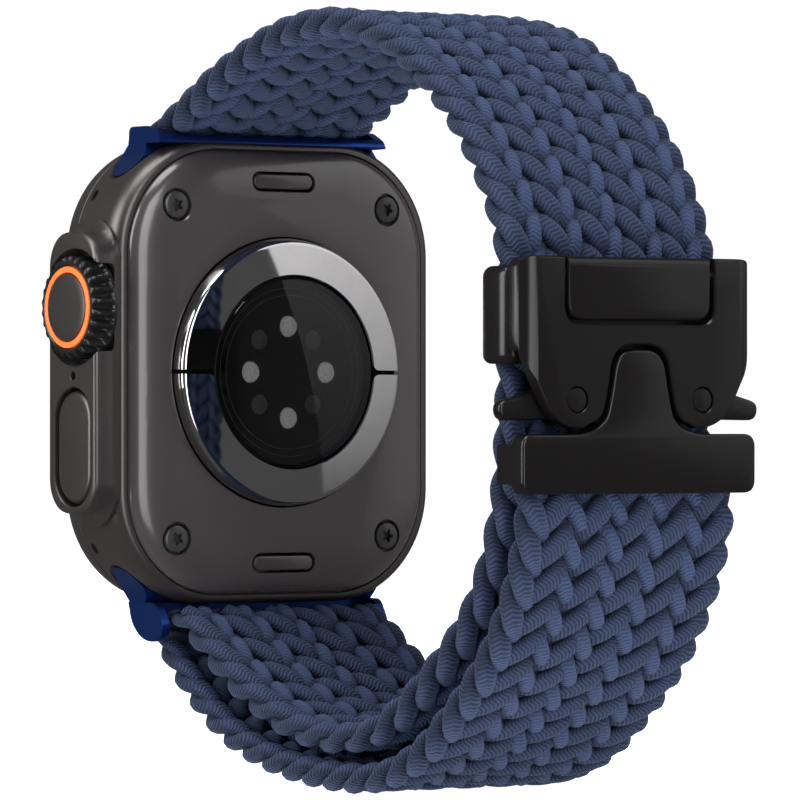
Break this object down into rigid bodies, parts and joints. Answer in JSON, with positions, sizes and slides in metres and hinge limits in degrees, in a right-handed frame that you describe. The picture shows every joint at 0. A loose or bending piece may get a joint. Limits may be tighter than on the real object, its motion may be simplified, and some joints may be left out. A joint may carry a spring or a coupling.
{
  "type": "wrist activity tracker with braided band",
  "caption": "Rounded rectangular wrist tracker with a sensor dome, side crown and guard, on a doubled braided elastic band closed by a clip buckle.",
  "frame": {"origin": "centre of the wrist opening, level with the middle of the case", "axes": "+Z towards twelve o'clock, -Y out of the display, +Y out of the buckle, +X towards the crown"},
  "size_m": [0.0454, 0.0732, 0.0795],
  "materials": {
    "graphite": "satin bead-blasted dark titanium",
    "black_glass": "polished black crystal",
    "rubber_seal": "matt",
    "steel": "plain",
    "circuit_board": "matt",
    "black_plastic": "fine matt",
    "gloss_cover": "polished dark ceramic",
    "electrode": "polished dark metal film",
    "clear_lens": "clear lens over a sensor",
    "orange_trim": "satin orange",
    "blue_metal": "anodised satin",
    "navy_braid": "braided elastic cord",
    "black_metal": "satin black coating"
  },
  "bodies": {
    "case": {"case_body": "graphite", "front_crystal": "black_glass", "display_gasket": "rubber_seal", "display_panel": "black_glass", "battery": "steel", "logic_board": "circuit_board", "haptic_motor": "steel", "speaker_module": "black_plastic", "side_button_switch": "steel", "back_cover": "gloss_cover", "back_gasket": "rubber_seal", "back_screw_1": "black_metal", "back_screw_2": "black_metal", "back_screw_3": "black_metal", "back_screw_4": "black_metal", "electrode_upper": "electrode", "electrode_lower": "electrode", "sensor_window": "black_glass", "sensor_frame": "black_plastic", "sensor_board": "circuit_board", "led_lens_1": "clear_lens", "led_lens_2": "clear_lens", "led_lens_3": "clear_lens", "led_lens_4": "clear_lens", "photodiode_1": "clear_lens", "photodiode_2": "clear_lens", "photodiode_3": "clear_lens", "photodiode_4": "clear_lens", "crown_seal": "rubber_seal"},
    "crown_stem": {"crown_shaft": "steel"},
    "crown": {"crown_wheel": "graphite", "crown_ring": "orange_trim", "crown_cap": "graphite"},
    "side_key": {"side_button": "graphite"},
    "action_key": {"action_button": "orange_trim"},
    "release_key_upper": {"release_button_upper": "black_plastic"},
    "release_key_lower": {"release_button_lower": "black_plastic"},
    "band": {"adapter_upper": "blue_metal", "adapter_lower": "blue_metal", "adapter_latch_upper": "steel", "adapter_latch_lower": "steel", "adapter_pin_upper": "steel", "adapter_bar_lower": "steel", "strap_upper_run": "navy_braid", "strap_inner_run": "navy_braid", "strap_outer_run": "navy_braid", "clip_plate": "black_metal", "clip_frame": "black_metal", "lever_pin": "steel", "rivet_left": "black_metal", "rivet_right": "black_metal"},
    "lever": {"cam_lever": "black_metal"},
    "catch_left": {"trigger_left": "black_metal"},
    "catch_right": {"trigger_right": "black_metal"},
    "tongue_piece": {"tongue": "black_metal", "tongue_pin": "steel"}
  },
  "joints": [
    {"name": "crown_press", "type": "slide", "parent": "case", "child": "crown_stem", "axis": [-1, 0, 0], "range_m": [0, 0.00025], "stiffness_N_per_m": 600, "springref_m": -0.0002},
    {"name": "crown_turn", "type": "hinge", "parent": "crown_stem", "child": "crown", "pos_m": [0.0225, -0.0319, 0.0067], "axis": [1, 0, 0], "continuous": true},
    {"name": "side_button_press", "type": "slide", "parent": "case", "child": "side_key", "axis": [-1, 0, 0], "range_m": [0, 0.0004], "stiffness_N_per_m": 600, "springref_m": -0.0002},
    {"name": "action_button_press", "type": "slide", "parent": "case", "child": "action_key", "axis": [1, 0, 0], "range_m": [0, 0.0004], "stiffness_N_per_m": 600, "springref_m": -0.0002},
    {"name": "release_upper_press", "type": "slide", "parent": "case", "child": "release_key_upper", "axis": [0, -1, 0], "range_m": [0, 0.0005], "stiffness_N_per_m": 600, "springref_m": -0.0002},
    {"name": "release_lower_press", "type": "slide", "parent": "case", "child": "release_key_lower", "axis": [0, -1, 0], "range_m": [0, 0.0005], "stiffness_N_per_m": 600, "springref_m": -0.0002},
    {"name": "band_slide_off", "type": "slide", "parent": "case", "child": "band", "axis": [-1, 0, 0], "range_m": [0, 0.032]},
    {"name": "cam_lever_flip", "type": "hinge", "parent": "band", "child": "lever", "pos_m": [0, 0.03285, 0.0092], "axis": [1, 0, 0], "range_deg": [0, 100]},
    {"name": "trigger_left_turn", "type": "hinge", "parent": "band", "child": "catch_left", "pos_m": [0.0078, 0.0318, -0.00307], "axis": [0, -1, 0], "range_deg": [0, 14], "stiffness_Nm_per_rad": 0.02, "springref_deg": -2.86},
    {"name": "trigger_right_turn", "type": "hinge", "parent": "band", "child": "catch_right", "pos_m": [-0.0078, 0.0318, -0.00307], "axis": [0, 1, 0], "range_deg": [0, 14], "stiffness_Nm_per_rad": 0.02, "springref_deg": -2.86},
    {"name": "tongue_slide", "type": "slide", "parent": "band", "child": "tongue_piece", "axis": [0, 0, -1], "range_m": [0, 0.0085], "deforming": ["strap_outer_run"]}
  ]
}
